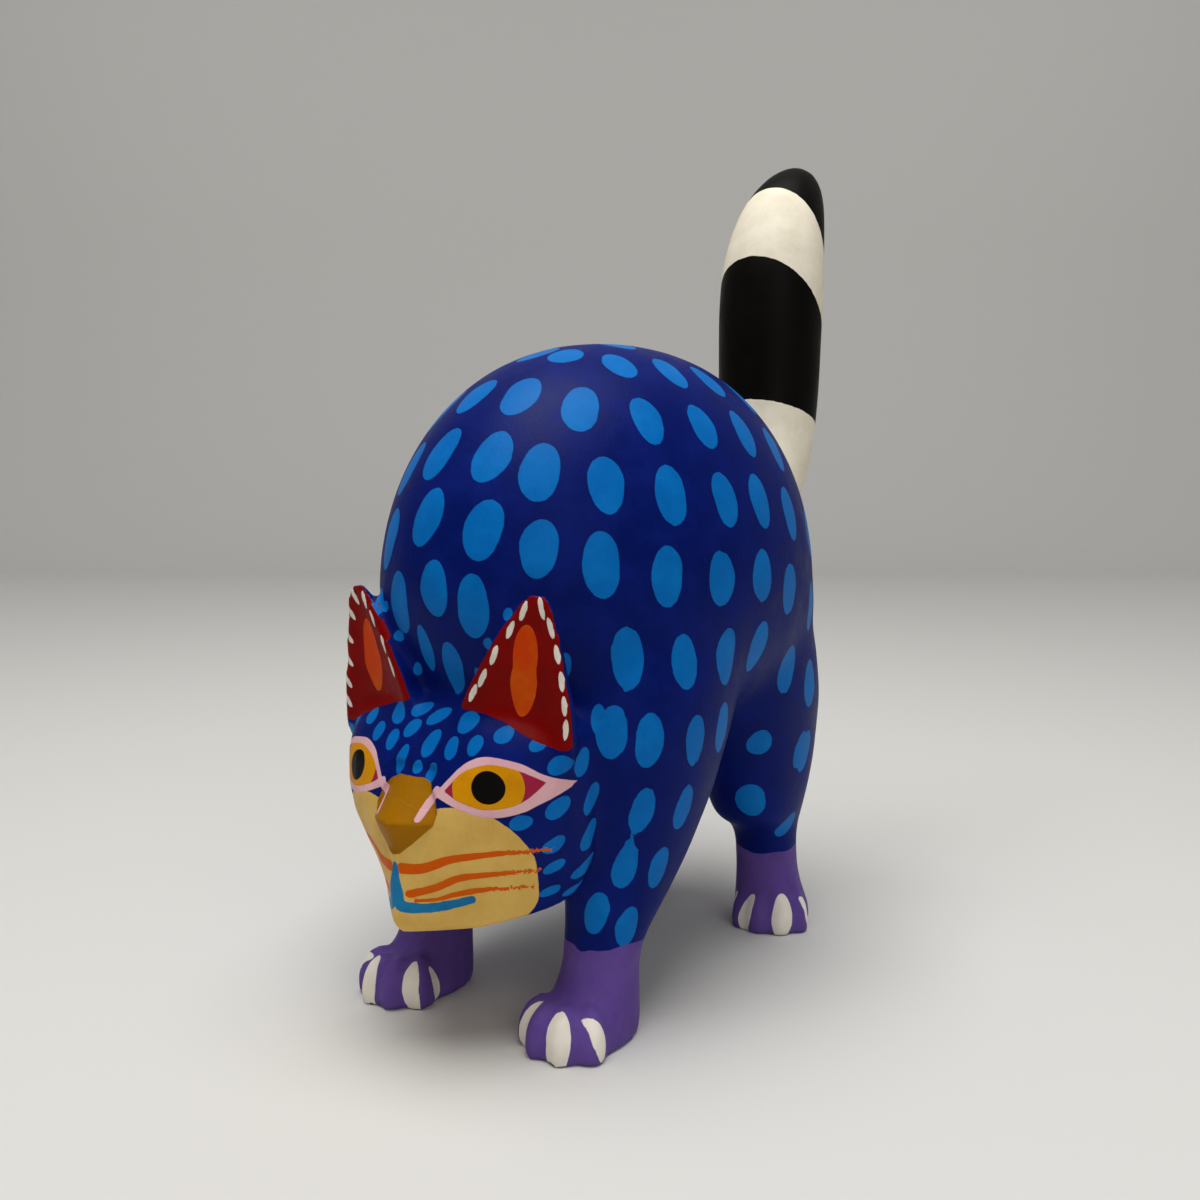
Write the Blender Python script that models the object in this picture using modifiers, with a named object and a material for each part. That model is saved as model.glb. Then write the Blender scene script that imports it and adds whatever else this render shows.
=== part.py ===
"""A wooden cat, carved whole from one block: low head, high arched back, four column legs and a thick tail.

The cat faces -Y with its left side towards +X, and stands on its four soles at Z = 0.
Its free form is drawn on a carver's squared pattern: 243 squares from the floor to the top of the back.
Lengthwise places in the pattern count from the line that the front toes touch.
"""

import math

import bmesh
import bpy
from mathutils import Matrix, Vector

# Driving sizes in metres
BACK_HEIGHT = 0.243
BODY_WIDTH = 0.1425
BODY_LENGTH = 0.213
STANCE = 0.076
STRIDE = 0.144
LEG_WIDTH = 0.027
PAW_WIDTH = 0.036
FRONT_PAW_LENGTH = 0.045
HIND_PAW_LENGTH = 0.039
PAW_HEIGHT = 0.020
TOE_WIDTH = 0.0115
HEAD_WIDTH = 0.096
HEAD_HEIGHT = 0.0765
CHIN_HEIGHT = 0.043
NOSE_WIDTH = 0.022
EAR_HEIGHT = 0.044
EAR_DEPTH = 0.009
TAIL_THICKNESS = 0.050
TAIL_TIP_HEIGHT = 0.347
HIND_PAW_SPLAY = math.radians(22)

# How finely each stage is carved, and how many passes of sandpaper round it
BODY_GRAIN = 0.0022
BODY_SANDING = 30
FACE_GRAIN = 0.0015
FACE_SANDING = 3
MOST_TRIANGLES = 9000

SQUARE = BACK_HEIGHT / 243
WIDEST_HEIGHT = 150 * SQUARE
CHEST_OVERHANG = 10 * SQUARE
RING_POINTS = 32


def collection(name):
    made = bpy.data.collections.new(name)
    bpy.context.scene.collection.children.link(made)
    return made


def add_object(name, mesh):
    made = bpy.data.objects.new(name, mesh)
    FORMS.objects.link(made)
    return made


def mesh_from(bm, name):
    mesh = bpy.data.meshes.new(name)
    bm.to_mesh(mesh)
    bm.free()
    return mesh


def superellipse(angle, power):
    """A point of the unit superellipse: power 2 is a circle, more is squarer, less is more pointed."""
    c, s = math.cos(angle), math.sin(angle)
    return math.copysign(abs(c) ** (2 / power), c), math.copysign(abs(s) ** (2 / power), s)


def loft(name, rings, front_face=None):
    """A closed form through rings, each given as centre, half vector across, half vector along and power.

    front_face(a) cuts the near half of each ring away: it is the share along at the share a across.
    """
    bm = bmesh.new()
    loops = []
    for centre, across, along, power in rings:
        loop = []
        for i in range(RING_POINTS):
            a, b = superellipse(2 * math.pi * i / RING_POINTS, power)
            if front_face is not None:
                b = max(b, front_face(a))
            loop.append(bm.verts.new(centre + across * a + along * b))
        loops.append(loop)
    for low, high in zip(loops, loops[1:]):
        for i in range(RING_POINTS):
            j = (i + 1) % RING_POINTS
            bm.faces.new((low[i], low[j], high[j], high[i]))
    bm.faces.new(list(reversed(loops[0])))
    bm.faces.new(loops[-1])
    bmesh.ops.recalc_face_normals(bm, faces=bm.faces)
    return add_object(name, mesh_from(bm, name))


def level_ring(x, y, z, half_width, half_length, power):
    return Vector((x, y, z)), Vector((half_width, 0, 0)), Vector((0, half_length, 0)), power


def egg(name, centre, half_sizes, turn=0.0):
    """A sphere stretched to its own half sizes and turned about the vertical."""
    bm = bmesh.new()
    bmesh.ops.create_uvsphere(bm, u_segments=RING_POINTS, v_segments=RING_POINTS // 2, radius=1.0)
    place = Matrix.Translation(centre) @ Matrix.Rotation(turn, 4, "Z") @ Matrix.Diagonal((*half_sizes, 1.0))
    bmesh.ops.transform(bm, matrix=place, verts=bm.verts)
    return add_object(name, mesh_from(bm, name))


def both_sides(forms):
    """Each left form, and its mirror image on the cat's right."""
    pairs = []
    for form in forms:
        bm = bmesh.new()
        bm.from_mesh(form.data)
        bmesh.ops.scale(bm, vec=(-1, 1, 1), verts=bm.verts)
        bmesh.ops.reverse_faces(bm, faces=bm.faces)
        pairs += [form, add_object(form.name + "_right", mesh_from(bm, form.name + "_right"))]
    return pairs


def arched_back():
    """The high back: level sections from the arch of the belly up to the rounded top."""
    half_width = BODY_WIDTH / 2
    half_length = BODY_LENGTH / 2
    middle = half_length - CHEST_OVERHANG
    rings = []
    # height, front, rear, share of the width, power
    for z, front, rear, width, power in (
        (97, 22, 158, 0.46, 2.0),
        (103, 11, 174, 0.66, 2.1),
        (113, 5, 188, 0.83, 2.4),
        (125, -1, 197, 0.93, 2.4),
        (138, -6, 202, 0.98, 2.25),
    ):
        y = (front + rear) / 2 * SQUARE
        rings.append(level_ring(0, y, z * SQUARE, half_width * width, (rear - front) / 2 * SQUARE, power))
    steps = 14
    for i in range(steps + 1):
        lift = math.radians(88 * i / steps)
        z = WIDEST_HEIGHT + (BACK_HEIGHT - WIDEST_HEIGHT) * math.sin(lift)
        share = math.cos(lift) ** 0.90
        rings.append(level_ring(0, middle, z, half_width * share, half_length * share, 2.05))
    return loft("arched_back", rings)


def leg(name, toes, rows):
    """A left leg: rows of height, place across and along, and half width and half length in half leg widths."""
    unit = LEG_WIDTH / 2
    rings = []
    for z, x, y, width, length in rows:
        rings.append(
            level_ring(STANCE / 2 + x * SQUARE, toes + y * SQUARE, z * SQUARE, width * unit, length * unit, 2.1)
        )
    return loft(name, rings)


def front_leg():
    """A straight column that widens backwards and outwards into the shoulder."""
    rows = (
        (-4, 0, 30, 1.14, 1.32),
        (8, 0, 31, 1.12, 1.28),
        (17, 0, 33, 1.03, 1.12),
        (25, 0, 34.5, 1.00, 1.04),
        (32, 0, 36.5, 1.04, 1.10),
        (42, 0.5, 42, 1.20, 1.46),
        (58, 1, 49, 1.48, 1.94),
        (81, 1.5, 55, 1.82, 2.60),
        (105, 0, 60, 2.12, 3.30),
        (128, -3, 67, 2.32, 3.75),
        (148, -8, 74, 2.15, 3.90),
        (172, -15, 84, 1.60, 3.30),
    )
    return leg("front_leg", 0.0, rows)


def hind_leg():
    """A plain shank, the knee that juts out over it, and the full thigh."""
    rows = (
        (-4, 0, 20, 1.16, 1.24),
        (8, 0, 20, 1.14, 1.22),
        (17, -0.5, 19, 1.06, 1.10),
        (26, -1, 18, 1.00, 1.00),
        (38, -1, 17, 1.00, 1.02),
        (45, -1, 16, 1.02, 1.12),
        (47.5, -1, 12, 1.16, 1.50),
        (52, -1, 9, 1.30, 1.80),
        (62, -0.5, 8, 1.44, 2.05),
        (75, 0, 6, 1.60, 2.30),
        (102, -2, 0, 2.00, 3.05),
        (126, -5, -9, 2.22, 3.60),
        (148, -11, -20, 2.10, 3.70),
        (172, -19, -30, 1.60, 3.00),
    )
    return leg("hind_leg", STRIDE, rows)


def paw(name, x, toes, length, splay):
    """A left paw: a low egg for the palm, and four toes that fan out in front of it."""
    middle = Vector((x, toes + length / 2, 0))
    spin = Matrix.Rotation(splay, 3, "Z")
    palm_middle = middle + spin @ Vector((0, 0.06 * length, 0.18 * PAW_HEIGHT))
    palm = egg(name, palm_middle, (0.47 * PAW_WIDTH, 0.43 * length, 0.82 * PAW_HEIGHT), splay)
    fingers = []
    for fan in (-54, -18, 18, 54):
        aim = math.radians(fan)
        reach = Vector((0.33 * PAW_WIDTH * math.sin(aim), -0.31 * length * math.cos(aim), 0.20 * PAW_HEIGHT))
        half_sizes = (TOE_WIDTH / 2, 0.21 * length, 0.66 * PAW_HEIGHT)
        fingers.append(egg("%s_toe_%d" % (name, fan), middle + spin @ reach, half_sizes, splay + 0.75 * aim))
    return palm, fingers


def tail():
    """The upright tail: a round bar that thins and bends back at its tip."""
    # place along, height, share of the thickness
    spine = (
        (172, 152, 0.96),
        (196, 168, 0.94),
        (216, 186, 0.94),
        (229, 212, 0.97),
        (232, 240, 0.99),
        (232, 268, 1.02),
        (234, 290, 1.02),
        (240, 310, 0.92),
        (250, 325, 0.78),
        (260, 337, 0.56),
        (265, 343, 0.30),
    )
    root, top = spine[0][1], spine[-1][1]
    tip_rounding = 4 * SQUARE
    stretch = (TAIL_TIP_HEIGHT - tip_rounding - root * SQUARE) / (top - root)
    curve = bpy.data.curves.new("tail", "CURVE")
    curve.dimensions = "3D"
    curve.bevel_depth = TAIL_THICKNESS / 2
    curve.bevel_resolution = 6
    curve.resolution_u = 6
    curve.use_fill_caps = True
    line = curve.splines.new("NURBS")
    line.points.add(len(spine) - 1)
    line.order_u = 4
    line.use_endpoint_u = True
    for point, (y, z, share) in zip(line.points, spine):
        point.co = (0, y * SQUARE, root * SQUARE + (z - root) * stretch, 1)
        point.radius = share
    bar = add_object("tail_spine", curve)
    bm = bmesh.new()
    bm.from_mesh(evaluated_mesh(bar))
    bpy.data.objects.remove(bar)
    bmesh.ops.remove_doubles(bm, verts=bm.verts, dist=0.00001)
    bmesh.ops.recalc_face_normals(bm, faces=bm.faces)
    return add_object("tail", mesh_from(bm, "tail"))


def head():
    """The broad head: a wedge at the muzzle, a flatter brow above it, and sunk in the chest behind."""
    rings = []
    # share of the height, share of the width, front, back, power
    for z, width, front, back, power in (
        (0.00, 0.38, -23.5, 13, 1.10),
        (0.03, 0.54, -26, 25, 1.08),
        (0.055, 0.66, -27.5, 35, 1.06),
        (0.08, 0.76, -28, 44, 1.06),
        (0.12, 0.86, -28, 52, 1.06),
        (0.18, 0.92, -28, 56, 1.10),
        (0.25, 0.96, -27.5, 58, 1.22),
        (0.34, 0.99, -26.5, 56, 1.45),
        (0.44, 0.99, -24.5, 50, 1.80),
        (0.56, 0.99, -22, 46, 2.20),
        (0.70, 1.00, -18, 46, 2.60),
        (0.80, 1.00, -14, 46, 2.70),
        (0.86, 0.98, -11, 46, 2.60),
        (0.92, 0.89, -7, 44, 2.40),
        (0.97, 0.70, -1, 42, 2.30),
        (1.00, 0.48, 6, 38, 2.20),
    ):
        height = CHIN_HEIGHT + z * HEAD_HEIGHT
        y = (front + back) / 2 * SQUARE
        rings.append(level_ring(0, y, height, width * HEAD_WIDTH / 2, (back - front) / 2 * SQUARE, power))
    return loft("head", rings)


def nose():
    """The big wedge of the nose: a ridge that widens downwards and ends in a point."""
    rings = []
    depth = 12
    # share of the head's height, share of the nose's width, front
    for z, width, front in (
        (0.34, 0.20, -27.5),
        (0.39, 0.50, -29.5),
        (0.46, 0.90, -31),
        (0.52, 1.05, -31),
        (0.59, 1.00, -28),
        (0.66, 0.84, -24.5),
        (0.71, 0.60, -19),
    ):
        y = (front + depth) * SQUARE
        rings.append(level_ring(0, y, CHIN_HEIGHT + z * HEAD_HEIGHT, width * NOSE_WIDTH / 2, depth * SQUARE, 1.6))
    return loft("nose", rings)


def ear():
    """The left ear: a thick wedge whose hollow front faces forwards and a little outwards."""
    inner = Vector((10, -7.5, 115)) * SQUARE
    outer = Vector((51, 1.5, 104)) * SQUARE
    tip = Vector((41, -4, 111)) * SQUARE + Vector((0, 0, EAR_HEIGHT))
    base = (inner + outer) / 2
    across = (outer - inner) / 2
    rise = tip - base
    backwards = rise.cross(across).normalized()
    rings = []
    # share of the rise, share of the width, share of the depth
    for t, width, depth in (
        (-0.40, 0.60, 1.60),
        (-0.24, 0.78, 1.60),
        (-0.10, 0.94, 1.55),
        (0.0, 1.00, 1.50),
        (0.25, 0.86, 1.30),
        (0.50, 0.66, 1.08),
        (0.72, 0.46, 0.82),
        (0.88, 0.30, 0.55),
        (0.98, 0.15, 0.32),
    ):
        rings.append((base + rise * t, across * width, backwards * EAR_DEPTH * depth, 2.2))
    rim, hollow = 0.14, 0.34
    return loft("ear", rings, front_face=lambda a: hollow * (1 - a * a) - rim)


def evaluated_mesh(thing):
    bpy.context.view_layer.update()
    return bpy.data.meshes.new_from_object(thing.evaluated_get(bpy.context.evaluated_depsgraph_get()))


def carve(name, forms, grain, sanding):
    """The forms joined into one solid, then sanded so that their meetings become soft hollows."""
    bm = bmesh.new()
    for form in forms:
        bm.from_mesh(form.data)
    made = add_object(name, mesh_from(bm, name))
    join = made.modifiers.new("join", "REMESH")
    join.mode = "VOXEL"
    join.voxel_size = grain
    sand = made.modifiers.new("sand", "SMOOTH")
    sand.factor = 0.5
    sand.iterations = sanding
    return apply_modifiers(made)


def apply_modifiers(thing):
    mesh = evaluated_mesh(thing)
    thing.modifiers.clear()
    thing.data = mesh
    return thing


def thinned(thing, most):
    """The same form in fewer triangles."""
    fewer = thing.modifiers.new("fewer", "DECIMATE")
    fewer.ratio = most / sum(len(face.vertices) - 2 for face in thing.data.polygons)
    return apply_modifiers(thing)


def flatten_soles(bm):
    """Everything below the floor is sawn off, so the four soles are flat."""
    everything = bm.verts[:] + bm.edges[:] + bm.faces[:]
    sawn = bmesh.ops.bisect_plane(bm, geom=everything, plane_co=(0, 0, 0), plane_no=(0, 0, -1), clear_outer=True)
    rim = [item for item in sawn["geom_cut"] if isinstance(item, bmesh.types.BMEdge)]
    bmesh.ops.contextual_create(bm, geom=rim)
    bmesh.ops.triangulate(bm, faces=[face for face in bm.faces if len(face.verts) > 3])
    bmesh.ops.recalc_face_normals(bm, faces=bm.faces)


def centre_lengthwise(bm):
    """Puts the origin on the floor under the middle of the cat's whole length, and says how far that was."""
    places = [vert.co.y for vert in bm.verts]
    shift = -(min(places) + max(places)) / 2
    bmesh.ops.translate(bm, verts=bm.verts, vec=(0, shift, 0))
    return shift


def painted_wood():
    """The ultramarine acrylic that covers most of the wood."""
    paint = bpy.data.materials.new("painted_wood")
    paint.use_nodes = True
    surface = paint.node_tree.nodes["Principled BSDF"]
    surface.inputs["Base Color"].default_value = (0.006, 0.003, 0.15, 1)
    surface.inputs["Roughness"].default_value = 0.4
    surface.inputs["Metallic"].default_value = 0.0
    return paint


for old in list(bpy.data.objects):
    bpy.data.objects.remove(old)
FIGURE = collection("wooden_cat")
FORMS = collection("carving_forms")

front_palm, front_toes = paw("front_paw", STANCE / 2, 0.0, FRONT_PAW_LENGTH, 0.0)
hind_palm, hind_toes = paw("hind_paw", STANCE / 2 + 1 * SQUARE, STRIDE, HIND_PAW_LENGTH, HIND_PAW_SPLAY)
trunk_forms = [arched_back(), tail()] + both_sides([front_leg(), hind_leg(), front_palm, hind_palm])
trunk = carve("trunk", trunk_forms, BODY_GRAIN, BODY_SANDING)
fine_forms = [head(), nose()] + both_sides([ear()] + front_toes + hind_toes)
cat = carve("carved_cat", [trunk] + fine_forms, FACE_GRAIN, FACE_SANDING)
cat = thinned(cat, MOST_TRIANGLES)

finish = bmesh.new()
finish.from_mesh(cat.data)
flatten_soles(finish)
origin_shift = centre_lengthwise(finish)
finish.to_mesh(cat.data)
finish.free()

FORMS.objects.unlink(cat)
FIGURE.objects.link(cat)
for form in FORMS.objects:
    form.hide_render = True
    form.display_type = "WIRE"

cat.data.materials.clear()
cat.data.materials.append(painted_wood())
cat.data.shade_smooth()
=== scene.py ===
"""The finish of a carved and painted wooden cat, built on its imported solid."""

import math
import random

import bmesh
import bpy
import numpy as np
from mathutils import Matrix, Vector
from mathutils.bvhtree import BVHTree


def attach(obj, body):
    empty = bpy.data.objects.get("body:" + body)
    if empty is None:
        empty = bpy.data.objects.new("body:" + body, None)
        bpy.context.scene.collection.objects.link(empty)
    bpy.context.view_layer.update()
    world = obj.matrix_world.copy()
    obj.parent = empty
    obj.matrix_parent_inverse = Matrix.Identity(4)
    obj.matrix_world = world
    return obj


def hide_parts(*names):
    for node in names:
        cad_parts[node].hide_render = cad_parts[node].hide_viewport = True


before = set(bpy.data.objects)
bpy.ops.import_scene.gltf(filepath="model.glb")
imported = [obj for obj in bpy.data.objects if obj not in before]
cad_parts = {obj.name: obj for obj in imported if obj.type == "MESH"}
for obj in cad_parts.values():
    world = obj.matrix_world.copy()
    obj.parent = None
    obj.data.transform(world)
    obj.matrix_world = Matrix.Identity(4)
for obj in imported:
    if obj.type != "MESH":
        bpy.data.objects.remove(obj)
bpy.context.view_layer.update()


# The carving: one block of pale wood, sawn, cut with knives and sanded smooth before it is painted.
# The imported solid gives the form. It is remeshed finely, and the long curves of the body are sanded more
# than the face, the ears and the paws. Pairs of numbers are in millimetres, where a blend starts and ends.
MM = 0.001
GRAIN = 1.5 * MM
SAME_PLACE = 0.01 * MM
BODY_SANDING = 36
FACE_SANDING = 4
MOST_TRIANGLES = 146000
HEAD_BACK = (-106, -94)
BROW_TOP = (118, 128)
BROW_FRONT = (-126, -118)
BROW_LEAN = 0.25
EAR_TIPS = (160, 166)
PAW_TOPS = (14, 24)


def deselect_all():
    for thing in list(bpy.context.selected_objects):
        thing.select_set(False)


def select_only(thing):
    deselect_all()
    thing.select_set(True)
    bpy.context.view_layer.objects.active = thing


def apply_modifier(thing, kind, **settings):
    """Adds a modifier with these settings and applies it."""
    select_only(thing)
    modifier = thing.modifiers.new(kind.lower(), kind)
    for name, value in settings.items():
        setattr(modifier, name, value)
    bpy.ops.object.modifier_apply(modifier=modifier.name)


def places_of(mesh):
    """The vertices in millimetres, one row each."""
    places = np.empty(len(mesh.vertices) * 3, np.float32)
    mesh.vertices.foreach_get("co", places)
    return places.reshape(-1, 3).astype(float) / MM


def smoothstep(low, high, value):
    """Rises smoothly from 0 at low to 1 at high, or falls where low is the greater."""
    share = np.clip((value - low) / (high - low), 0, 1)
    return share * share * (3 - 2 * share)


def facings_of(mesh):
    """The way each vertex faces, one row each."""
    facings = np.empty(len(mesh.vertices) * 3, np.float32)
    mesh.vertex_normals.foreach_get("vector", facings)
    return facings.reshape(-1, 3).astype(float)


def vertex_group(thing, name, weights):
    """A vertex group with these weights, in steps of a twentieth."""
    group = thing.vertex_groups.new(name=name)
    steps = 20
    for step in range(1, steps + 1):
        chosen = np.nonzero(np.round(weights * steps) == step)[0]
        if len(chosen):
            group.add(chosen.tolist(), step / steps, "REPLACE")
    return group.name


def body_weights(thing):
    """A vertex group: 1 on the broad curves of the body, and 0 on the head, the ears and the paws."""
    x, y, z = places_of(thing.data).T
    behind_head = smoothstep(*HEAD_BACK, y)
    above_brow = smoothstep(*BROW_TOP, z) * smoothstep(*BROW_FRONT, y - (z - BROW_TOP[0]) * BROW_LEAN)
    above_ears = smoothstep(*EAR_TIPS, z)
    weights = np.maximum(np.maximum(behind_head, above_brow), above_ears) * smoothstep(*PAW_TOPS, z)
    return vertex_group(thing, "body", weights)


cat_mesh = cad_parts["carved_cat"].data.copy()
cat = bpy.data.objects.new("painted_cat", cat_mesh)
bpy.context.scene.collection.objects.link(cat)
merging = bmesh.new()
merging.from_mesh(cat_mesh)
bmesh.ops.remove_doubles(merging, verts=merging.verts, dist=SAME_PLACE)
merging.to_mesh(cat_mesh)
merging.free()
cat_mesh.materials.clear()

apply_modifier(cat, "REMESH", mode="VOXEL", voxel_size=GRAIN)
apply_modifier(cat, "SMOOTH", factor=0.5, iterations=FACE_SANDING)
apply_modifier(cat, "SMOOTH", factor=0.5, iterations=BODY_SANDING, vertex_group=body_weights(cat))
cat.vertex_groups.clear()
triangles = sum(len(face.vertices) - 2 for face in cat.data.polygons)
apply_modifier(
    cat, "DECIMATE", ratio=MOST_TRIANGLES / triangles, vertex_group=body_weights(cat), vertex_group_factor=1
)
cat.vertex_groups.clear()


# The nose: a wedge left standing when the face was cut, with one broad facet on top and a steeper one below
# it. The face and the ears are cut finer than the body first, so that the brush strokes on them stay sharp.
FACE_AXIS_Y = -95.0
FACE_BACK_Y = -105
FACE_HALF_TURN = 1.1
FACE_HEIGHTS = (50, 105)
EARS_BACK_Y = -114
EARS_INNER_X = 9
EARS_HEIGHTS = (103, 156)
NOSE_RIDGE_Y = -149.9
NOSE_CREASE_Z = 80.5
NOSE_BACK_Y = -128
# The left half of the nose from the front. It starts and ends past the middle, so that no edge falls there.
NOSE_OUTLINE = (
    (-9, 97), (0, 93.4), (5, 93.2), (8.2, 91.6), (10.6, 88.5), (12.3, 84), (11.8, 80.5), (6, 75),
    (1.8, 71.4), (0, 71), (-9, 70),
)
NOSE_EDGE = (1.5, -0.9)
TOP_SLOPE = 0.8
TOP_CROWN = 0.05
LOWER_SLOPE = 0.42
LOWER_CROWN = 0.035
LOWER_FALL = 0.15
ABOVE_NOSE_SIDES = (10, 7)
ABOVE_NOSE_FOOT = (86, 90)
ABOVE_NOSE_TOP = (98.5, 96.5)
BROW_SANDING = 14
BROW_SIDES = (14, 10)
BROW_CREASE_FOOT = (93, 95)
BROW_CREASE_TOP = (104, 100)
BROW_BACK_Y = -120


def cut_finer(thing, wanted):
    """Divides each wanted triangle into four."""
    cutting = bmesh.new()
    cutting.from_mesh(thing.data)
    edges = {edge for face in cutting.faces if wanted(face.calc_center_median() / MM) for edge in face.edges}
    bmesh.ops.subdivide_edges(cutting, edges=list(edges), cuts=1, use_grid_fill=True)
    bmesh.ops.triangulate(cutting, faces=[face for face in cutting.faces if len(face.verts) > 3])
    cutting.to_mesh(thing.data)
    cutting.free()


def on_the_face(place):
    turn = abs(math.atan2(place.x, FACE_AXIS_Y - place.y))
    low, high = FACE_HEIGHTS
    if place.y < FACE_BACK_Y and turn < FACE_HALF_TURN and low < place.z < high:
        return True
    low, high = EARS_HEIGHTS
    return place.y < EARS_BACK_Y and abs(place.x) > EARS_INNER_X and low < place.z < high


cut_finer(cat, on_the_face)


def polygon_distance(across, up, outline):
    """Millimetres outside a closed outline, less than nothing inside it."""
    spots = np.stack([across, up], 1)
    corners = np.array(outline, float)
    nearest = np.full(len(spots), np.inf)
    inside = np.zeros(len(spots), bool)
    for a, b in zip(corners, np.roll(corners, -1, axis=0)):
        side = b - a
        share = np.clip(((spots - a) @ side) / max(side @ side, 1e-9), 0, 1)
        nearest = np.minimum(nearest, np.linalg.norm(spots - a - share[:, None] * side, axis=1))
        spans = (a[1] > spots[:, 1]) != (b[1] > spots[:, 1])
        rise = side[1] if side[1] else 1e-9
        inside ^= spans & (spots[:, 0] < a[0] + (spots[:, 1] - a[1]) / rise * side[0])
    return np.where(inside, -nearest, nearest)


places = places_of(cat.data)
x, y, z = places.T
nose = polygon_distance(np.abs(x), z, NOSE_OUTLINE)
top_facet = NOSE_RIDGE_Y + (z - NOSE_CREASE_Z) * TOP_SLOPE + x ** 2 * TOP_CROWN
lower_facet = NOSE_RIDGE_Y + (NOSE_CREASE_Z - z) * LOWER_SLOPE + x ** 2 * LOWER_CROWN
lower_facet += np.abs(x) * LOWER_FALL
facet = np.maximum(top_facet, lower_facet)
# The wood just above the nose is cut back to the slope of its top.
above_nose = smoothstep(*ABOVE_NOSE_SIDES, np.abs(x)) * smoothstep(*ABOVE_NOSE_FOOT, z)
above_nose *= smoothstep(*ABOVE_NOSE_TOP, z) * (y < NOSE_BACK_Y)
y += above_nose * (np.maximum(y, top_facet) - y)
on_nose = smoothstep(*NOSE_EDGE, nose) * (y < NOSE_BACK_Y)
y += on_nose * (facet - y)
places[:, 1] = y
cat.data.vertices.foreach_set("co", (places * MM).ravel())
cat.data.update()
brow = smoothstep(*BROW_SIDES, np.abs(x)) * smoothstep(*BROW_CREASE_FOOT, z)
brow *= smoothstep(*BROW_CREASE_TOP, z) * (y < BROW_BACK_Y)
brow_group = vertex_group(cat, "brow", brow)
apply_modifier(cat, "SMOOTH", factor=0.5, iterations=BROW_SANDING, vertex_group=brow_group)
cat.vertex_groups.clear()
cat.data.shade_smooth()
places = places_of(cat.data)
facings = facings_of(cat.data)
wood = BVHTree.FromPolygons(places.tolist(), [face.vertices[:] for face in cat.data.polygons])


# The ground coat: two coats of ultramarine craft acrylic over sealed wood, brushed on by hand. It gives
# a satin film with fine brush lines along the stroke and slightly uneven colour. A line of bristles is
# 0.3 mm wide, which is too fine to show, so the lines are drawn at 0.9 mm.
ULTRAMARINE = "#02145E"
ULTRAMARINE_THIN = "#061B70"
BRUSH_LINE_MM = 0.9
BRUSH_LINE_STRETCH = 0.12
WOBBLE_MM = 3.0
THIN_PATCH_MM = 14
# No paint reaches a place that is this many millimetres from it.
FAR = 20.0

finish = bpy.data.materials.new("hand_brushed_acrylic")
finish.use_nodes = True
tree = finish.node_tree
shader = tree.nodes["Principled BSDF"]


def linear(colour):
    """A hex colour as the linear values that a shader takes."""
    parts = [int(colour[i:i + 2], 16) / 255 for i in (1, 3, 5)]
    return [part / 12.92 if part <= 0.04045 else ((part + 0.055) / 1.055) ** 2.4 for part in parts] + [1]


def add_node(kind, inputs, **settings):
    """Adds one node: inputs are plain values or sockets to link from, by the input's name or number."""
    made = tree.nodes.new(kind)
    for name, value in settings.items():
        setattr(made, name, value)
    for name, value in inputs.items():
        if isinstance(value, bpy.types.NodeSocket):
            tree.links.new(value, made.inputs[name])
        else:
            made.inputs[name].default_value = value
    return made


object_place = add_node("ShaderNodeTexCoord", {}).outputs["Object"]
upright = add_node(
    "ShaderNodeMapping", {"Vector": object_place, "Scale": (1, 1, BRUSH_LINE_STRETCH)}
).outputs["Vector"]
brush_lines = add_node(
    "ShaderNodeTexNoise",
    {"Vector": upright, "Scale": 1 / (BRUSH_LINE_MM * MM), "Detail": 3, "Roughness": 0.6},
).outputs["Fac"]
wobble = add_node(
    "ShaderNodeTexNoise", {"Vector": object_place, "Scale": 1 / (WOBBLE_MM * MM), "Detail": 2}
).outputs["Fac"]
wobble = add_node("ShaderNodeMath", {0: wobble, 1: 0.5}, operation="SUBTRACT").outputs[0]
uneven = add_node(
    "ShaderNodeTexNoise",
    {"Vector": object_place, "Scale": 1 / (THIN_PATCH_MM * MM), "Detail": 4, "Roughness": 0.65},
).outputs["Fac"]
thin_paint = add_node(
    "ShaderNodeMapRange", {"Value": uneven, "From Min": 0.42, "From Max": 0.68, "To Max": 0.8}
).outputs["Result"]
# The Mix node keeps a socket of each name for each kind of data, so its colours go by number.
COLOUR_A, COLOUR_B, COLOUR_OUT = 6, 7, 2
ground = add_node(
    "ShaderNodeMix",
    {0: thin_paint, COLOUR_A: linear(ULTRAMARINE), COLOUR_B: linear(ULTRAMARINE_THIN)},
    data_type="RGBA",
).outputs[COLOUR_OUT]
paint = {"colour": ground, "film": brush_lines}


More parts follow.
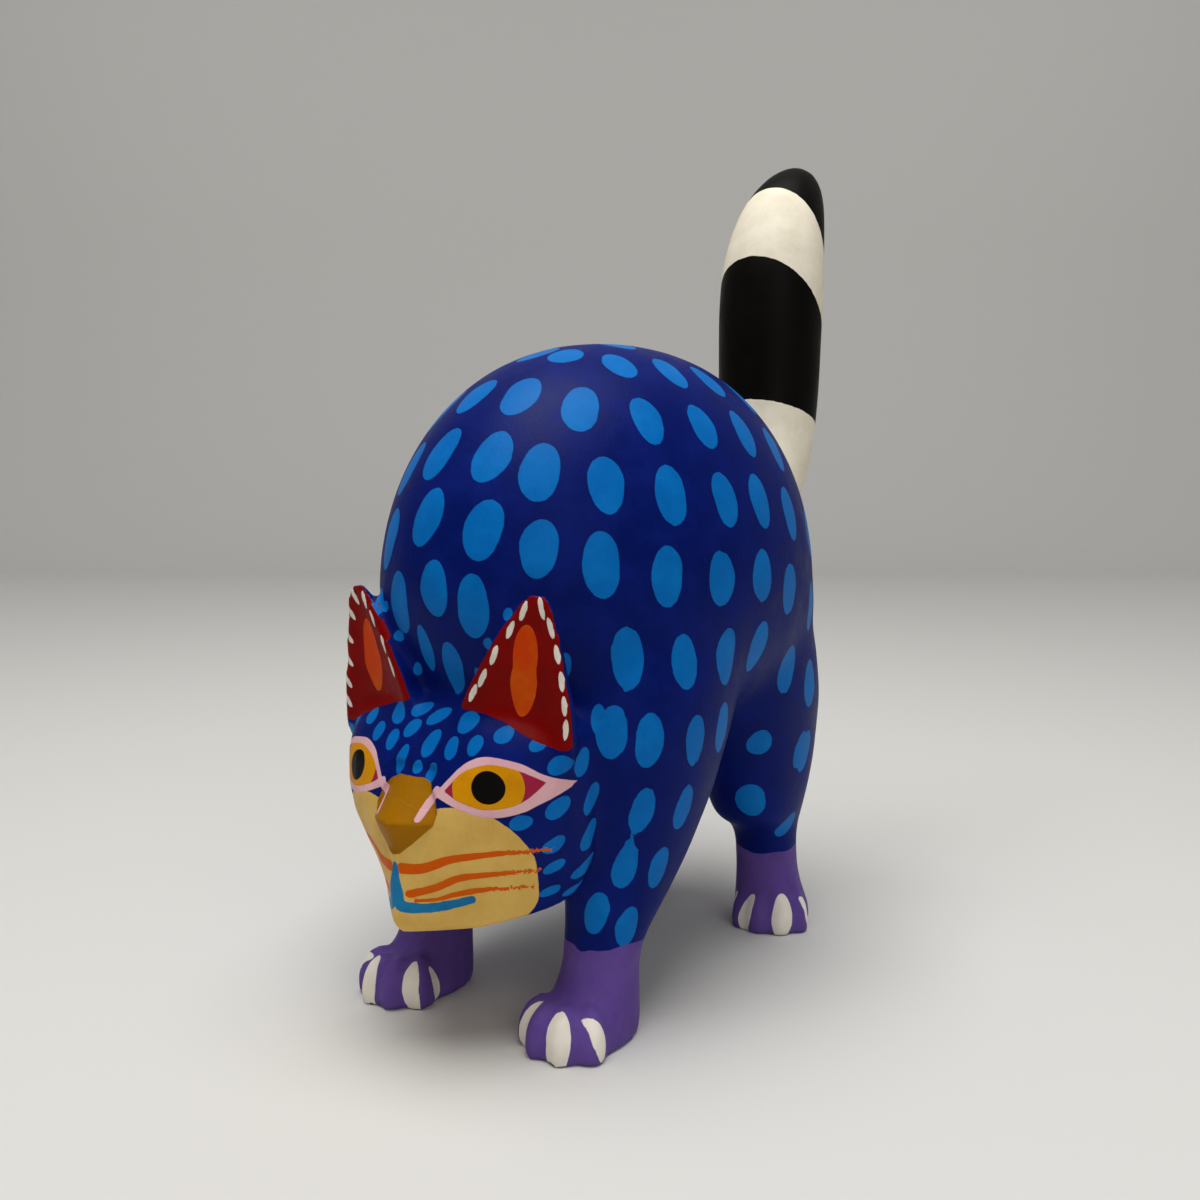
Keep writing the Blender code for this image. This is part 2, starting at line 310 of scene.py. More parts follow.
def brush_on(name, distance, hex_colour, hex_thin, wander=0.3, film=0.6, softness=0.12):
    """Paints over what is there, wherever the distance is below nothing. The edge strays by up to wander."""
    layer = cat.data.attributes.new(name, "FLOAT", "POINT")
    layer.data.foreach_set("value", np.clip(distance, -FAR, FAR).astype(np.float32))
    edge = add_node("ShaderNodeAttribute", {}, attribute_name=name).outputs["Fac"]
    edge = add_node(
        "ShaderNodeMath", {0: wobble, 1: 2 * wander, 2: edge}, operation="MULTIPLY_ADD"
    ).outputs[0]
    mask = add_node(
        "ShaderNodeMapRange",
        {"Value": edge, "From Min": softness, "From Max": -softness},
        interpolation_type="SMOOTHSTEP",
    ).outputs["Result"]
    coat = add_node(
        "ShaderNodeMix",
        {0: thin_paint, COLOUR_A: linear(hex_colour), COLOUR_B: linear(hex_thin)},
        data_type="RGBA",
    ).outputs[COLOUR_OUT]
    paint["colour"] = add_node(
        "ShaderNodeMix", {0: mask, COLOUR_A: paint["colour"], COLOUR_B: coat}, data_type="RGBA"
    ).outputs[COLOUR_OUT]
    paint["film"] = add_node(
        "ShaderNodeMath", {0: mask, 1: film, 2: paint["film"]}, operation="MULTIPLY_ADD"
    ).outputs[0]


# The ovals: light-blue dabs of a round brush, about 13 mm by 20 mm, in rows round the back that sag
# towards the tail. They get narrower on the chest, and smaller down the legs.
LIGHT_BLUE = "#0065B2"
LIGHT_BLUE_THIN = "#0472C0"
BACK_MIDDLE = Vector((0, -22.5, 150))
BACK_HALF_SIZES = (71, 106.5, 93)
ROW_SAG = ((0, 0), (45, 18), (60, 22), (88, 23), (120, 40), (180, 46))
CHEST_LEAN = 11
CHEST_FOOT = 170
CHEST_TURNS = (-15, 40)
DAB_REACH = 6
SAME_FACING = 0.1
NEARLY_LEVEL = 0.05
NEAR_MIDDLE = 0.05
FULL_TURN = 6.28
# How much the hand strays from one dab to the next, in degrees, millimetres and shares.
TURN_STRAYS = 1
HEIGHT_STRAYS = 0.8
LEAN_STRAYS = 4
WIDTH_SHARES = (0.94, 1.06)
LENGTH_SHARES = (0.95, 1.05)
painter = random.Random(7)


def on_the_wood(guess):
    """The nearest place on the carving, and the way it faces."""
    place, facing, _, _ = wood.find_nearest(guess)
    return place, facing


def back_place(turn, height):
    """A guess for a place on the back or the legs, turn degrees round from the chest towards the left."""
    rise = max(0, height - BACK_MIDDLE.z) / BACK_HALF_SIZES[2]
    share = math.sqrt(max(0, 1 - min(1, rise) ** 2))
    angle = math.radians(turn)
    wide, long, _ = BACK_HALF_SIZES
    reach = Vector((wide * math.sin(angle) * share, -long * math.cos(angle) * share, 0))
    return Vector((BACK_MIDDLE.x, BACK_MIDDLE.y, height)) + reach


def dab_on(place, facing, half_wide, half_long, lean=0.0, unevenness=0.04):
    """One dab centred on this place. lean turns its top to the right, in degrees."""
    upward = Vector((0, 0, 1)) - facing * facing.z
    if upward.length < NEARLY_LEVEL:
        upward = Vector((0, 1, 0))
    upward.normalize()
    right = upward.cross(facing)
    angle = math.radians(lean)
    along = upward * math.cos(angle) + right * math.sin(angle)
    phase = painter.uniform(0, FULL_TURN)
    return place, facing, along, along.cross(facing), half_wide, half_long, unevenness, phase


def oval_at(guess, *sizes):
    return dab_on(*on_the_wood(guess), *sizes)


def oval_distance(ovals):
    """For each vertex, millimetres outside the nearest dab, less than nothing inside it."""
    nearest = np.full(len(places), FAR)
    for centre, facing, along, across, half_wide, half_long, unevenness, phase in ovals:
        reach = places - np.array(centre)
        near = (reach ** 2).sum(1) < (half_long + DAB_REACH) ** 2
        near &= facings @ np.array(facing) > SAME_FACING
        up, side = reach[near] @ np.array(along), reach[near] @ np.array(across)
        angle = np.arctan2(up, side)
        shape = 1 + unevenness * (np.sin(2 * angle + phase) + 0.7 * np.sin(3 * angle + 2 * phase))
        size = np.hypot(side / half_wide, up / half_long) / shape
        distance = np.hypot(side, up) * (1 - 1 / np.maximum(size, NEAR_MIDDLE))
        nearest[near] = np.minimum(nearest[near], np.where(size < NEAR_MIDDLE, -half_wide, distance))
    return nearest


def row_of_ovals(height, sag, turns, half_wide, half_long, lean=0.0):
    """A row at this height on the chest, with a dab at each turn."""
    row = []
    low, drop = zip(*ROW_SAG)
    for turn in turns:
        about = turn + painter.uniform(-TURN_STRAYS, TURN_STRAYS)
        guess = back_place(about, height - sag * np.interp(abs(turn), low, drop))
        guess.z += painter.uniform(-HEIGHT_STRAYS, HEIGHT_STRAYS)
        wide = half_wide * painter.uniform(*WIDTH_SHARES)
        long = half_long * painter.uniform(*LENGTH_SHARES)
        on_chest = CHEST_LEAN if height > CHEST_FOOT and CHEST_TURNS[0] < turn < CHEST_TURNS[1] else 0
        strays = painter.uniform(-LEAN_STRAYS, LEAN_STRAYS)
        row.append(oval_at(guess, wide, long, math.copysign(lean, turn) + on_chest + strays))
    return row


def both_ways(turns):
    """The same turns towards the right and the left."""
    return [-turn for turn in reversed(turns)] + list(turns)


far_turns = [136, 151, 166]
dome_turns = [-6, 19, 48, 72, 94, 118, 145, 175, -32, -58, -84, -112, -145]
upper_turns = [-9, 14, 35, 56, 75, 93, 110, 128, 147, -30, -50, -69, -88, -107, -127, -147]
ovals = row_of_ovals(240.5, 0.0, (52, 128, -52, -128), 6.0, 9.0)
ovals += row_of_ovals(236, 0.35, dome_turns, 6.0, 9.1)
ovals += row_of_ovals(220, 0.5, upper_turns, 6.2, 10.0)
ovals += row_of_ovals(200.5, 0.75, [-25, -8, 12, 28, 43, 59, 75, 89, 103, 121] + far_turns, 6.5, 10.0)
ovals += row_of_ovals(200.5, 0.75, [-40, -55, -70, -85, -100, -118, -136, -152], 6.5, 10.0)
ovals += row_of_ovals(179, 1.0, [-23, -3, 15, 29, 44, 59, 73, 87, 99, 118] + far_turns, 6.5, 10.3)
ovals += row_of_ovals(179, 1.0, [-38, -53, -68, -83, -98, -116, -134, -150], 6.5, 10.3)
ovals += row_of_ovals(154.5, 1.15, [-27, -14, 1, 14, 49, 62, 75, 88, 107, 120] + far_turns, 5.6, 10.1)
ovals += row_of_ovals(154.5, 1.15, [-44, -59, -74, -89, -106, -121, -137, -152], 5.6, 10.1)
ovals += row_of_ovals(131, 1.3, both_ways([45, 54, 64, 75, 119, 134, 150]), 5.2, 9.2, lean=8)
ovals += row_of_ovals(107, 1.3, both_ways([52, 62, 150]), 4.6, 7.8, lean=14)
ovals += row_of_ovals(85.5, 1.3, both_ways([48, 58]), 4.2, 7.9, lean=18)
ovals += row_of_ovals(65, 1.3, both_ways([40, 50]), 4.0, 7.5, lean=15)
# Two narrow ones, low on the chest.
ovals += [oval_at(back_place(-6, 131.5), 2.9, 9.0), oval_at(back_place(3, 124.7), 4.0, 9.5)]
# On each hind leg: across, behind and height of the middle, half wide, half long, and lean.
HIND_LEG_OVALS = (
    (53.9, 2.1, 87.3, 5.4, 5.8, 0), (60, 25.8, 81.1, 4.0, 8.2, 12), (46.7, 8.8, 61.5, 6.2, 8.0, -22),
    (51.2, 32.9, 46.8, 4.2, 6.6, 20), (56, 48, 62, 4.2, 7.0, 8),
)
for side in (1, -1):
    for across, behind, height, half_wide, half_long, lean in HIND_LEG_OVALS:
        ovals.append(oval_at(Vector((side * across, behind, height)), half_wide, half_long, side * lean))
brush_on("ovals", oval_distance(ovals), LIGHT_BLUE, LIGHT_BLUE_THIN, wander=0.25)


# The head is painted as one would wrap paper round it: u runs round the head from the middle of the
# face towards either side, and v is the height. Both are in millimetres on the wood.
HEAD_RADIUS = 48.0
HEAD_REACH = 62
HEAD_BACK_Y = -79
HEAD_FOOT = 38
HEAD_TOP = 124
CLEAR_OF_HEAD = 120
MIRRORED_FROM = 12
x, y, z = places.T
head_turn = np.arctan2(x, -(y - FACE_AXIS_Y))
u, v = np.abs(head_turn) * HEAD_RADIUS, z
on_head = (y < HEAD_BACK_Y) & (z > HEAD_FOOT) & (z < HEAD_TOP) & (np.hypot(x, y - FACE_AXIS_Y) < HEAD_REACH)
off_the_head = np.where(on_head, 0, FAR)


def on_the_head(round_head, height):
    """The place that lies round_head millimetres from the middle of the face to the left, and its facing."""
    angle = round_head / HEAD_RADIUS
    inward = Vector((-math.sin(angle), math.cos(angle), 0))
    place, facing, _, _ = wood.ray_cast(Vector((0, FACE_AXIS_Y, height)) - inward * CLEAR_OF_HEAD, inward)
    return place, facing


def head_dabs(rows):
    """Dabs given as round, height, half wide, half long and lean. Those off the middle are mirrored."""
    dabs = []
    for round_head, height, half_wide, half_long, lean in rows:
        dabs.append(dab_on(*on_the_head(round_head, height), half_wide, half_long, lean))
        if abs(round_head) > MIRRORED_FROM:
            dabs.append(dab_on(*on_the_head(-round_head, height), half_wide, half_long, -lean))
    return dabs


def smooth_line(corners, steps=8):
    """A curve through all the corners, as close points."""
    points = [corners[0]] + list(corners) + [corners[-1]]
    line = []
    for before, start, end, after in zip(points, points[1:], points[2:], points[3:]):
        for i in range(steps):
            t = i / steps
            point = []
            for a, b, c, d in zip(before, start, end, after):
                curve = (2 * a - 5 * b + 4 * c - d) * t * t + (3 * b - a - 3 * c + d) * t ** 3
                point.append(0.5 * (2 * b + (c - a) * t + curve))
            line.append(tuple(point))
    return line + [tuple(corners[-1])]


def stroke_distance(across, up, corners):
    """Millimetres outside a brush stroke, and the share of its length. Its corners give place and width."""
    line = np.array(smooth_line(corners))
    spots = np.stack([across, up], 1)
    nearest = np.full(len(spots), FAR)
    travelled = np.zeros(len(spots))
    for i, (a, b) in enumerate(zip(line, line[1:])):
        side = b[:2] - a[:2]
        share = np.clip(((spots - a[:2]) @ side) / max(side @ side, 1e-9), 0, 1)
        half_width = (a[2] + share * (b[2] - a[2])) / 2
        gap = np.linalg.norm(spots - a[:2] - share[:, None] * side, axis=1) - half_width
        closer = gap < nearest
        nearest[closer] = gap[closer]
        travelled[closer] = ((i + share) / (len(line) - 1))[closer]
    return nearest, travelled


FACE_DABS = (
    (-9.4, 113.6, 2.8, 4.2, 42), (3.6, 112.4, 2.8, 4.9, 50), (21.2, 111.4, 3.1, 4.4, 42),
    (36, 109, 2.9, 3.8, 35), (46.3, 106.3, 2.2, 2.9, 60), (-8.2, 108, 2.7, 4.0, 42),
    (5.2, 104.4, 2.9, 5.0, 15), (15.8, 103.8, 2.5, 3.9, 0), (25.6, 105.4, 2.6, 3.7, 5),
    (-7.4, 98.4, 2.2, 4.8, 8), (2.0, 96.9, 1.8, 2.4, 5), (8.8, 95.4, 2.2, 3.1, 12),
    (51.9, 100.1, 3.0, 4.1, 60), (61.2, 99.3, 3.3, 5.2, 30), (66.2, 86.3, 3.1, 5.6, 33),
    (52, 86, 3.2, 4.8, 62), (40.4, 82.2, 2.5, 4.0, 78), (65.6, 74.3, 3.0, 5.6, 38),
    (51.6, 73.4, 2.8, 4.2, 58), (53.4, 65.3, 2.2, 4.2, 52), (65.2, 63.6, 2.2, 5.8, 48),
    (53.6, 56.2, 1.6, 3.8, 65), (63, 56, 1.5, 5.4, 60),
)
brush_on("face_dabs", oval_distance(head_dabs(FACE_DABS)), LIGHT_BLUE, LIGHT_BLUE_THIN, wander=0.15)


# The muzzle: tan paint laid on thickly over both cheeks and under the chin, with a raised edge.
TAN = "#DCB460"
TAN_THIN = "#CFA450"
MUZZLE_SIDE = (
    (0, 88), (9, 85), (15.2, 86), (19.2, 86.4), (26.1, 86), (32.5, 83.8), (39.4, 78.1),
    (45.4, 69.8), (48.4, 61), (49.4, 53.2), (46.5, 48), (42, 43), (36, 36),
)
muzzle = polygon_distance(u, v, [(-5, 88)] + smooth_line(MUZZLE_SIDE) + [(-5, 36)]) + off_the_head
brush_on("muzzle", muzzle, TAN, TAN_THIN, wander=0.35, film=1.0)


# The whiskers and the mouth: single strokes of a small loaded brush, which runs dry towards the end.
ORANGE = "#D65600"
ORANGE_THIN = "#CA6008"
MOUTH_BLUE = "#1E7AAC"
MOUTH_BLUE_THIN = "#146494"
WHISKERS = (
    (
        (2.6, 65.8, 3.6), (9.2, 66.2, 3.3), (17.6, 69.4, 2.8), (27.6, 71, 2.3),
        (35.7, 71.8, 2.0), (43.1, 71.9, 1.8), (51, 71.9, 1.5),
    ),
    (
        (4.6, 57.4, 2.7), (12.3, 59.5, 2.6), (20, 62.7, 2.6), (29.4, 63.7, 2.2),
        (38, 64.1, 1.9), (48.5, 64.4, 1.6),
    ),
    (
        (5.9, 55, 1.0), (12, 55.3, 1.3), (17.7, 56.7, 1.9), (25, 57.8, 2.1),
        (34.4, 58.3, 1.7), (47.4, 58.2, 1.4),
    ),
)
MOUTH = (
    (0.3, 67.4, 0.8), (0.4, 63.4, 2.6), (1.0, 58.2, 3.4), (2, 53.6, 3.8), (8.3, 52.4, 3.2),
    (15.6, 53.2, 3.2), (23.7, 54.6, 2.8),
)
RUNS_DRY = (0.55, 0.95)
DRY_THINNING = 0.25
DRY_SPECKLE = 0.75
speckle = np.random.default_rng(5).uniform(-1, 1, len(places))
whiskers = np.full(len(places), FAR)
for corners in WHISKERS:
    gap, travelled = stroke_distance(u, v, corners)
    dryness = smoothstep(*RUNS_DRY, travelled)
    whiskers = np.minimum(whiskers, gap + dryness * (DRY_THINNING + DRY_SPECKLE * speckle))
brush_on("whiskers", whiskers + off_the_head, ORANGE, ORANGE_THIN, wander=0.2, film=0.8)
mouth, _ = stroke_distance(u, v, MOUTH)
brush_on("mouth", mouth + off_the_head, MOUTH_BLUE, MOUTH_BLUE_THIN, wander=0.3, film=0.9)


# The nose's paint: ochre craft acrylic over the whole wedge, one coat, carried just past its edges on to
# the face.
OCHRE = "#9A6400"
OCHRE_THIN = "#A66E02"
NOSE_PAINT_SPREAD = 0.9
nose = polygon_distance(np.abs(x), z, NOSE_OUTLINE) - NOSE_PAINT_SPREAD
brush_on("nose", nose + off_the_head, OCHRE, OCHRE_THIN, wander=0.15)


# The eyes: a pink almond with a pointed outer corner, and in it the magenta corners, the yellow iris and
# the black pupil. A pink stroke runs from the inner corner down over the side of the nose.
PINK = "#E4B2B6"
PINK_THIN = "#D6A0A8"
MAGENTA = "#A02241"
YELLOW = "#D89204"
YELLOW_THIN = "#C88200"
BLACK = "#0C0A08"
INNER_CORNER = (11.7, 89.6)
OUTER_CORNER = (59.9, 93.5)
UPPER_LID = (
    INNER_CORNER, (19, 97.2), (24.2, 100.8), (30.6, 102.4), (40.3, 100.9), (48.6, 96.7),
    OUTER_CORNER,
)
LOWER_LID = (
    INNER_CORNER, (20.1, 86.4), (30.9, 83.9), (40.2, 85.4), (47.6, 88.6), OUTER_CORNER,
)
OPENING_INNER = (15.5, 91.1)
OPENING_OUTER = (48, 94.8)
UPPER_OPENING = (OPENING_INNER, (21.7, 97.2), (29.6, 100), (35.7, 99.8), (41.8, 98), OPENING_OUTER)
LOWER_OPENING = (OPENING_INNER, (21.6, 88.4), (30.6, 86.5), (40.3, 88.6), OPENING_OUTER)
TEAR = ((12.8, 91.1, 2.6), (10.1, 87, 2.6), (8.5, 82.6, 2.2))
IRIS_MIDDLE = (30.0, 93.3)
IRIS_HALF_SIZES = (11.6, 10.5)
PUPIL_MIDDLE = (30.6, 93.3)
PUPIL_HALF_SIZES = (5.4, 5.1)


def lids(upper, lower):
    """Millimetres outside the almond between two lids."""
    return polygon_distance(u, v, smooth_line(upper) + smooth_line(lower)[::-1])


rim = np.minimum(lids(UPPER_LID, LOWER_LID), stroke_distance(u, v, TEAR)[0])
opening = lids(UPPER_OPENING, LOWER_OPENING)


def round_distance(middle, half_wide, half_high):
    """Millimetres outside an oval on the face."""
    side, up = u - middle[0], v - middle[1]
    size = np.hypot(side / half_wide, up / half_high)
    return np.hypot(side, up) * (1 - 1 / np.maximum(size, NEAR_MIDDLE))


iris = np.maximum(opening, round_distance(IRIS_MIDDLE, *IRIS_HALF_SIZES))
pupil = round_distance(PUPIL_MIDDLE, *PUPIL_HALF_SIZES)
brush_on("eye_rims", rim + off_the_head, PINK, PINK_THIN, wander=0.15, film=0.9)
brush_on("eye_corners", opening + off_the_head, MAGENTA, MAGENTA, wander=0.1)
brush_on("irises", iris + off_the_head, YELLOW, YELLOW_THIN, wander=0.1)
brush_on("pupils", pupil + off_the_head, BLACK, BLACK, wander=0.1)


# The ears: red inside with one long orange dab, and white dabs along both edges. Their backs and sides
# stay blue, with light-blue dabs.
EAR_RED = "#800200"
EAR_RED_THIN = "#700602"
EAR_ORANGE = "#CC3E00"
WHITE = "#EAE2D4"
WHITE_THIN = "#CFC6B8"
EAR_INNER_CORNER = Vector((10, -127, 115))
EAR_OUTER_CORNER = Vector((51, -118, 104))
EAR_TIP = Vector((41, -123.5, 155))
EAR_OUTLINE = (
    (9.5, 117.5), (13, 115.7), (20, 114.3), (28, 112), (36, 108.6), (42, 106), (46, 104.6),
    (49, 104.8), (53, 107.5), (53, 122), (49, 142), (45.5, 152), (39, 159), (34, 154), (23, 138),
)
INNER_EDGE_DABS = (
    (16.6, 121.2, 24), (20.2, 126.4, 22), (24.6, 134, 22), (30.4, 142.2, 24), (35.2, 148.6, 20),
)
OUTER_EDGE_DABS = (
    (41.2, 149.4, -12), (44.2, 143.6, -16), (46.2, 135, -10), (47.3, 126.8, -6), (48.2, 119, -4),
    (48.4, 111.6, 6),
)
RIGHT_EAR_LEAN = 38
BEHIND_EARS_Y = -113
EAR_DEPTH = 4.5
EAR_FRONT_FACING = 0.45
EAR_EDGE_MM = 6
IN_FRONT_OF_FACE_Y = -160
WHITE_DAB_HALF_SIZES = (0.95, 3.5)
# Behind each ear and on its sides: across, behind and height of the middle, half wide and half long.
EAR_BACK_DABS = (
    (51, -110, 133, 2.0, 4.4), (52, -106, 113, 2.4, 5.0), (20, -118, 137, 2.0, 2.0),
    (27, -118, 146, 1.8, 2.0), (14, -118, 126, 1.6, 2.2), (30, -104, 132, 2.4, 4.4),
    (36, -104, 118, 2.6, 4.8),
)
ear_backs = []
for side in (1, -1):
    for across, behind, height, half_wide, half_long in EAR_BACK_DABS:
        ear_backs.append(oval_at(Vector((side * across, behind, height)), half_wide, half_long))
brush_on("ear_backs", oval_distance(ear_backs), LIGHT_BLUE, LIGHT_BLUE_THIN, wander=0.15)
ear_side = np.abs(x)
ear_square = (EAR_OUTER_CORNER - EAR_INNER_CORNER).cross(EAR_TIP - EAR_INNER_CORNER).normalized()
from_ear = np.stack([ear_side, y, z], 1) - np.array(EAR_INNER_CORNER)
depth_in_ear = from_ear @ np.array(ear_square)
facing_ear = np.stack([np.sign(x) * facings[:, 0], facings[:, 1], facings[:, 2]], 1) @ np.array(ear_square)
turned_away = (EAR_FRONT_FACING - facing_ear) * EAR_EDGE_MM
ear_face = np.maximum(polygon_distance(ear_side, z, EAR_OUTLINE), np.abs(depth_in_ear) - EAR_DEPTH)
front_of_ear = np.where(facings[:, 1] < 0, 0, FAR)
brush_on("ear_red", np.maximum(ear_face, turned_away) + front_of_ear, EAR_RED, EAR_RED_THIN, wander=0.2)


def ear_dabs(rows, half_wide, half_long, sides=(1, -1)):
    """Dabs on the fronts of the ears, given as across, height and lean. Side 1 is the left ear."""
    dabs = []
    for side in sides:
        for across, height, lean in rows:
            start = Vector((side * across, IN_FRONT_OF_FACE_Y, height))
            place, facing, _, _ = wood.ray_cast(start, Vector((0, 1, 0)))
            if place is not None and place.y < BEHIND_EARS_Y:
                dabs.append(dab_on(place, facing, half_wide, half_long, side * lean, 0.08))
    return dabs


ear_orange = ear_dabs([(33.6, 128.4, 7)], 4.7, 14.0)
RIGHT_OUTER_DABS = tuple((across, height, RIGHT_EAR_LEAN) for across, height, _ in OUTER_EDGE_DABS)
ear_white = ear_dabs(INNER_EDGE_DABS + OUTER_EDGE_DABS, *WHITE_DAB_HALF_SIZES, sides=(1,))
ear_white += ear_dabs(INNER_EDGE_DABS[1:] + RIGHT_OUTER_DABS, *WHITE_DAB_HALF_SIZES, sides=(-1,))
brush_on("ear_orange", oval_distance(ear_orange), EAR_ORANGE, ORANGE_THIN, wander=0.2, film=0.8)
brush_on("ear_white", oval_distance(ear_white), WHITE, WHITE_THIN, wander=0.15, film=0.9)


# The socks and claws: purple paint up to a brushed edge round each leg, and a long white dab down each toe.
PURPLE = "#664C98"
PURPLE_THIN = "#5A4088"
FRONT_SOCK = 32.0
HIND_SOCK = 34.5
FRONT_LEG_Y = -92
HIND_LEG_Y = 42
LEG_X = 38
BETWEEN_LEGS_Y = -20
# The edge goes up and down in waves: the height of each, how many go round the leg, and where they start.
SOCK_WAVES = ((0.8, 2, 1), (0.4, 5, 0))
in_front = y < BETWEEN_LEGS_Y
turn_round_leg = np.arctan2(y - np.where(in_front, FRONT_LEG_Y, HIND_LEG_Y), np.abs(x) - LEG_X)
sock_top = np.where(in_front, FRONT_SOCK, HIND_SOCK)
for wave_height, waves, start in SOCK_WAVES:
    sock_top = sock_top + wave_height * np.sin(turn_round_leg * waves + start)
brush_on("socks", z - sock_top, PURPLE, PURPLE_THIN, wander=0.3)

# The front and the hind paw: across and behind of the middle, wide, long, and the turn outwards in degrees.
PAWS = ((38.0, -97.0, 36.0, 45.0, 0), (39.0, 43.0, 36.0, 39.0, 26))
# Each claw: its turn on the paw in degrees, half wide, half long, and lean.
CLAWS = ((-80, 2.3, 7.0, 8), (-40, 3.1, 9.4, 9), (20, 4.3, 9.9, 5), (63, 2.9, 7.6, -5))
CLAW_REACH = 0.56
CLAW_HEIGHT = 8.0
CLAW_WHITE = "#F6EEE0"
claws = []
for side in (1, -1):
    for across, behind, wide, long, splay in PAWS:
        for fan, half_wide, half_long, lean in CLAWS:
            angle = math.radians(fan + splay)
            reach = Vector((wide * math.sin(angle), -long * math.cos(angle), 0)) * CLAW_REACH
            guess = Vector((side * (across + reach.x), behind + reach.y, CLAW_HEIGHT))
            claws.append(oval_at(guess, half_wide, half_long, side * lean))
brush_on("claws", oval_distance(claws), CLAW_WHITE, WHITE, wander=0.25, film=0.8)


# The tail: black and white bands, each brushed round it, with edges that slope down towards the back.
# An edge is a plane: behind and height of a place on it, and the way towards the tip.
TAIL_ROOT = ((85, 172), (0.72, 0.69))
BAND_EDGES = (
    ((104, 172), (0.70, 0.71)), ((112, 221), (0.32, 0.95)), ((113.5, 274.5), (0.70, 0.71)),
    ((123, 306), (0.90, 0.43)),
)
TAIL_FRONT_Y = 70
TAIL_FOOT = 140
TAIL_BLACK = "#0A0806"
TAIL_WHITE = "#F1E8D2"
TAIL_WHITE_THIN = "#E2D8C0"


def beyond(edge):
    """Millimetres towards the tip from a plane across the tail."""
    (behind, height), (back, up) = edge
    size = math.hypot(back, up)
    return ((y - behind) * back + (z - height) * up) / size


tail_only = np.maximum(-beyond(TAIL_ROOT), np.where((y > TAIL_FRONT_Y) & (z > TAIL_FOOT), -FAR, FAR))
low_band, low_white, middle, high = (beyond(edge) for edge in BAND_EDGES)
brush_on("tail_black", tail_only, TAIL_BLACK, BLACK, wander=0.3)
white_bands = np.minimum(np.maximum(-low_band, low_white), np.maximum(-middle, high))
brush_on("tail_white", np.maximum(white_bands, tail_only), TAIL_WHITE, TAIL_WHITE_THIN, wander=0.4, film=0.9)


# The whole film of paint: acrylic is a plastic with an IOR near 1.5, satin where it is brushed out. The
# matting agent in craft paint leaves it only a faint sheen.
BRUSHED_ROUGHNESS = 0.42
SMOOTHER = 0.06
ROUGHER = 0.1
FAINT_SHEEN = 0.06
ACRYLIC_IOR = 1.49
FILM_MM = 0.18
FILM_STRENGTH = 0.6
bump = add_node(
    "ShaderNodeBump", {"Strength": FILM_STRENGTH, "Distance": FILM_MM * MM, "Height": paint["film"]}
)
roughness = add_node(
    "ShaderNodeMapRange",
    {
        "Value": uneven,
        "From Min": 0.3,
        "From Max": 0.7,
        "To Min": BRUSHED_ROUGHNESS - SMOOTHER,
        "To Max": BRUSHED_ROUGHNESS + ROUGHER,
    },
).outputs["Result"]
tree.links.new(paint["colour"], shader.inputs["Base Color"])
tree.links.new(bump.outputs["Normal"], shader.inputs["Normal"])
tree.links.new(roughness, shader.inputs["Roughness"])
shader.inputs["IOR"].default_value = ACRYLIC_IOR
shader.inputs["Specular IOR Level"].default_value = FAINT_SHEEN
cat.data.materials.append(finish)
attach(cat, "root")
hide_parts("carved_cat")


# The studio: a sweep of matt off-white paper, which is the floor and rises behind in one curve, square to
# the camera.
PAPER = "#D9D7D2"
PAPER_ROUGHNESS = 0.85
PAPER_SHEEN = 0.2
SWEEP_SIZE = 16
SWEEP_BACK = 2.4
SWEEP_RISE = 4
SWEEP_CURVE = 1.0
FLOOR_GAP = 0.0002
CAMERA_TURN = 34.8
deselect_all()
bpy.ops.mesh.primitive_plane_add(size=SWEEP_SIZE, location=(0, SWEEP_BACK - SWEEP_SIZE / 2, -FLOOR_GAP))
sweep = bpy.context.object
sweep.name = "paper_sweep"
bpy.ops.object.mode_set(mode="EDIT")
bpy.ops.mesh.select_all(action="DESELECT")
bpy.ops.object.mode_set(mode="OBJECT")
for edge in sweep.data.edges:
    edge.select = all(sweep.data.vertices[i].co.y > 0 for i in edge.vertices)
for vertex in sweep.data.vertices:
    vertex.select = vertex.co.y > 0
bpy.ops.object.mode_set(mode="EDIT")
bpy.ops.mesh.extrude_region_move(TRANSFORM_OT_translate={"value": (0, 0, SWEEP_RISE)})
bpy.ops.object.mode_set(mode="OBJECT")
apply_modifier(sweep, "BEVEL", width=SWEEP_CURVE, segments=24, limit_method="ANGLE", affect="EDGES")
sweep.data.shade_smooth()
sweep.rotation_euler.z = math.radians(CAMERA_TURN)
select_only(sweep)
bpy.ops.object.transform_apply(location=True, rotation=True, scale=True)
paper = bpy.data.materials.new("matt_paper")
paper.use_nodes = True
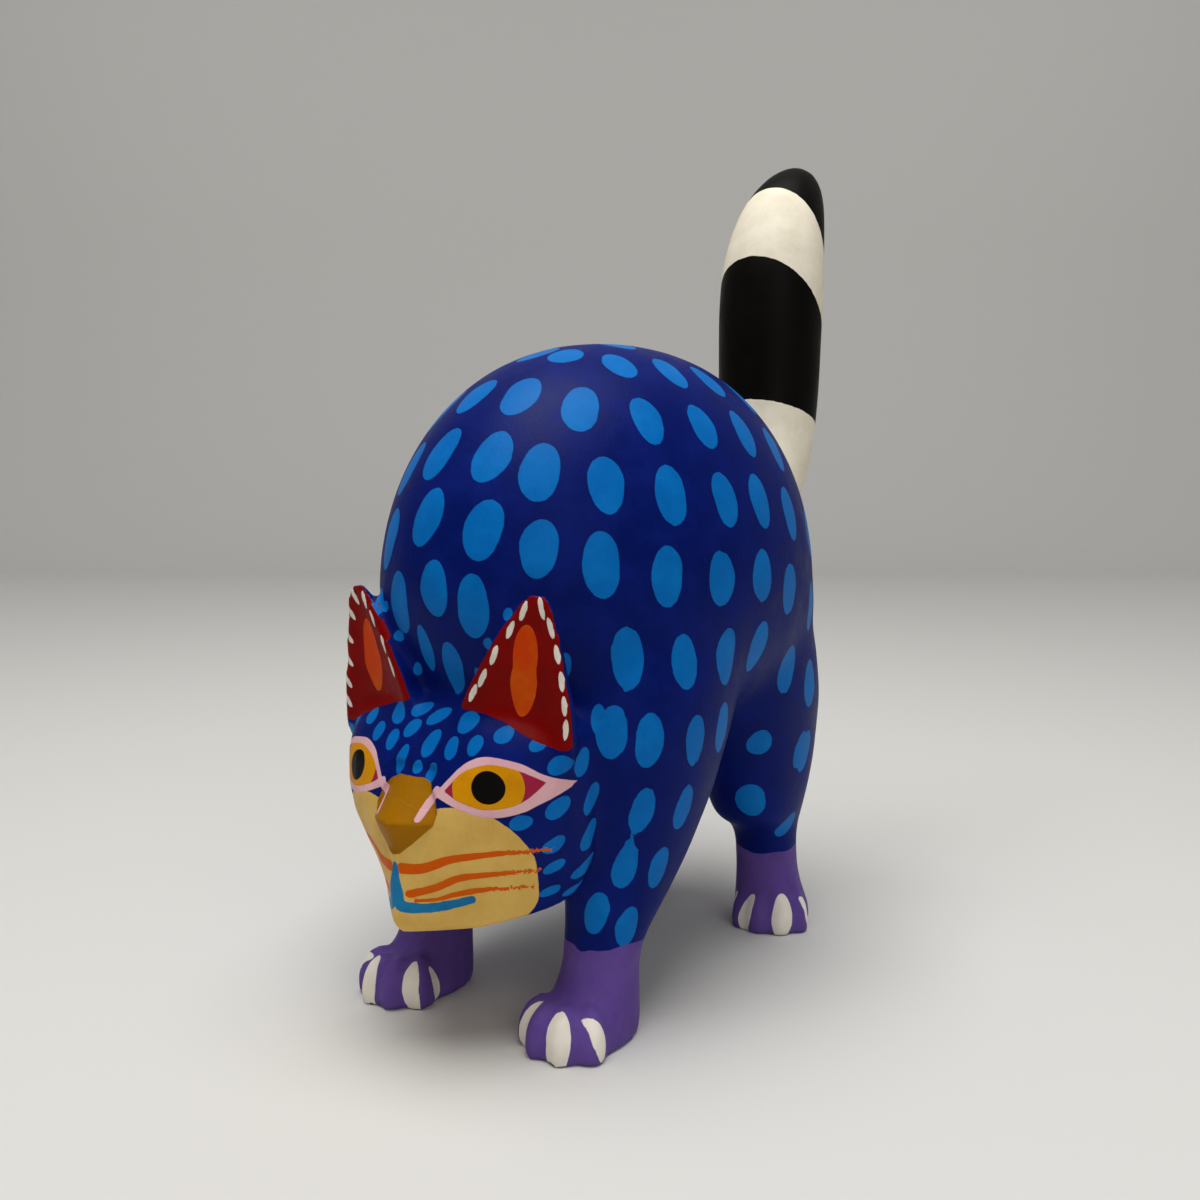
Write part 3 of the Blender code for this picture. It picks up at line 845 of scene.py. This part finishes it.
paper_shader = paper.node_tree.nodes["Principled BSDF"]
paper_shader.inputs["Base Color"].default_value = linear(PAPER)
paper_shader.inputs["Roughness"].default_value = PAPER_ROUGHNESS
paper_shader.inputs["Specular IOR Level"].default_value = PAPER_SHEEN
sweep.data.materials.append(paper)

ROOM_LIGHT = "#C9CACC"
ROOM_STRENGTH = 0.37
studio = bpy.data.worlds.new("studio")
studio.use_nodes = True
studio.node_tree.nodes["Background"].inputs["Color"].default_value = linear(ROOM_LIGHT)
studio.node_tree.nodes["Background"].inputs["Strength"].default_value = ROOM_STRENGTH
bpy.context.scene.world = studio


def softbox(name, place, aim, size, watts):
    """A square area light at this place, turned towards aim. size is its side in metres."""
    light = bpy.data.lights.new(name, "AREA")
    light.size = size
    light.energy = watts
    lamp = bpy.data.objects.new(name, light)
    lamp.location = place
    lamp.rotation_euler = (Vector(aim) - Vector(place)).to_track_quat("-Z", "Y").to_euler()
    bpy.context.scene.collection.objects.link(lamp)


softbox("overhead_softbox", (0.04, -0.2, 1.5), (0, -0.05, 0.1), 1.05, 21)
softbox("side_softbox", (1.3, -1.0, 0.9), (0, -0.05, 0.15), 0.9, 4)
softbox("left_backdrop_softbox", (-1.66, -0.42, 2.3), (-2.68, 1.06, 1.94), 1.2, 20)
softbox("right_backdrop_softbox", (0.97, 1.41, 2.3), (-0.06, 2.88, 1.94), 1.2, 20)


# The camera: as in the photograph, low in front of the cat's left shoulder.
CAMERA_PLACE = (0.2684, -0.4171, 0.1843)
CAMERA_PITCH = 4.95
SENSOR_MM = 36
LENS_MM = 36
NEAREST_SEEN = 0.01
lens = bpy.data.cameras.new("camera")
lens.sensor_width = SENSOR_MM
lens.lens = LENS_MM
lens.clip_start = NEAREST_SEEN
camera = bpy.data.objects.new("camera", lens)
camera.location = CAMERA_PLACE
camera.rotation_euler = (math.radians(90 - CAMERA_PITCH), 0, math.radians(CAMERA_TURN))
bpy.context.scene.collection.objects.link(camera)
bpy.context.scene.camera = camera
bpy.context.scene.view_settings.view_transform = "Standard"
